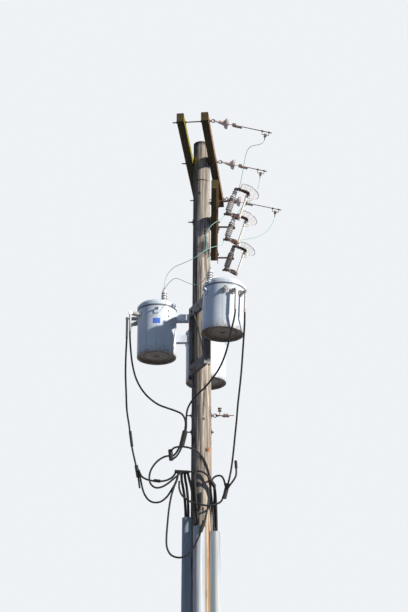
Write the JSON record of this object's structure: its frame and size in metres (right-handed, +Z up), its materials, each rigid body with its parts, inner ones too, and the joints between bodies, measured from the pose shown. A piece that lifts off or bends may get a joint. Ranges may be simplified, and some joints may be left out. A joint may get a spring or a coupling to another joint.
{
  "type": "pole mounted transformer bank",
  "caption": "Wooden utility pole with crossarms, fused cutouts, round tank transformers on a cluster bracket, leads, secondary cables and cable guards.",
  "frame": {"origin": "centre of the pole at ground level", "axes": "+Z up along the pole; +X towards the side that the line dead ends and cutouts face; the picture looks along +Y"},
  "size_m": [2.1382, 2.5565, 11.7],
  "materials": {
    "pole_wood": "weathered, grey-tan, with drying cracks",
    "arm_wood": "weathered brown with moss",
    "steel": "dull galvanised, rust-stained",
    "porcelain": "glazed light grey",
    "fuse_tube": "ivory fibreglass tube",
    "guard_plastic": "white moulded plastic",
    "tank_paint": "light grey enamel",
    "riser_guard": "light grey, streaked",
    "cable_jacket": "black jacket",
    "copper": "weathered green copper"
  },
  "bodies": {
    "root": {"pole": "pole_wood", "crossarm_left": "arm_wood", "crossarm_right": "arm_wood", "crossarm_bolts": "steel", "equipment_arm": "arm_wood", "equipment_arm_bolts": "steel", "deadend_insulators": "porcelain", "deadend_clamps": "steel", "cutout_insulator_1": "porcelain", "cutout_insulator_2": "porcelain", "cutout_insulator_3": "porcelain", "cutout_frame_1": "steel", "cutout_frame_2": "steel", "cutout_frame_3": "steel", "cutout_guards": "guard_plastic", "tank_left": "tank_paint", "lid_left": "tank_paint", "bushings_left": "porcelain", "bracket_left": "steel", "tank_front": "tank_paint", "lid_front": "tank_paint", "bushings_front": "porcelain", "bracket_front": "steel", "tank_back": "tank_paint", "lid_back": "tank_paint", "bushings_back": "porcelain", "bracket_back": "steel", "neutral_deadend": "steel", "cable_guard_left": "riser_guard", "cable_guard_middle": "riser_guard", "cable_guard_right": "riser_guard", "riser_cables": "cable_jacket", "cable_connectors": "cable_jacket", "line_jumper_1": "copper", "line_jumper_2": "copper", "line_jumper_3": "copper", "hv_lead_front": "copper", "hv_lead_left": "copper", "hv_tie": "copper", "cable_left_outer": "cable_jacket", "cable_left_inner": "cable_jacket", "cable_front_left": "cable_jacket", "cable_front_right": "cable_jacket", "cable_loop_riser": "cable_jacket", "cable_loop_left": "cable_jacket", "cable_branch_upper": "cable_jacket", "cable_branch_lower": "cable_jacket", "cable_loop_under": "cable_jacket", "cable_drop_loop": "cable_jacket", "cable_loop_right": "cable_jacket", "cable_tap_right": "cable_jacket", "cable_cross": "cable_jacket"},
    "fuse_holder_1": {"fuse_holder_1": "fuse_tube"},
    "fuse_holder_2": {"fuse_holder_2": "fuse_tube"},
    "fuse_holder_3": {"fuse_holder_3": "fuse_tube"}
  },
  "joints": [
    {"name": "fuse_hinge_1", "type": "hinge", "parent": "root", "child": "fuse_holder_1", "pos_m": [0.48846, -0.55, 10.28539], "axis": [0, 1, 0], "range_deg": [0, 150]},
    {"name": "fuse_hinge_2", "type": "hinge", "parent": "root", "child": "fuse_holder_2", "pos_m": [0.48846, 0.2, 10.28539], "axis": [0, 1, 0], "range_deg": [0, 150]},
    {"name": "fuse_hinge_3", "type": "hinge", "parent": "root", "child": "fuse_holder_3", "pos_m": [0.48846, 1, 10.20539], "axis": [0, 1, 0], "range_deg": [0, 150]}
  ]
}
